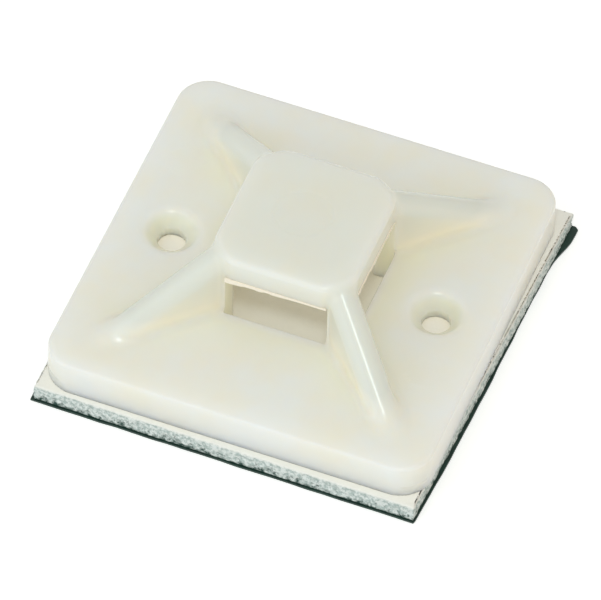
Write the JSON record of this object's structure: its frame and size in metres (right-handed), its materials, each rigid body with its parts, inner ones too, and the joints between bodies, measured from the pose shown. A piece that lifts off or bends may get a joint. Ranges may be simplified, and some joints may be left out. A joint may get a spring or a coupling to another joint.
{
  "type": "cable tie mount",
  "caption": "Square adhesive-backed nylon mount whose raised bridge lets a cable tie pass either way, with countersunk screw holes beside it.",
  "frame": {"origin": "centre of the square base plate, on the underside of the release liner", "axes": "+Z away from the surface that the mount is fixed to; +X to the right, through both screw holes; +Y to the back"},
  "size_m": [0.0288, 0.0284, 0.0098],
  "materials": {
    "natural_nylon": "satin, slightly translucent",
    "foam_tape": "matte closed-cell foam",
    "release_liner": "smooth silicone-coated"
  },
  "bodies": {
    "root": {"mount_body": "natural_nylon", "foam_pad": "foam_tape", "release_liner": "release_liner"}
  },
  "joints": []
}
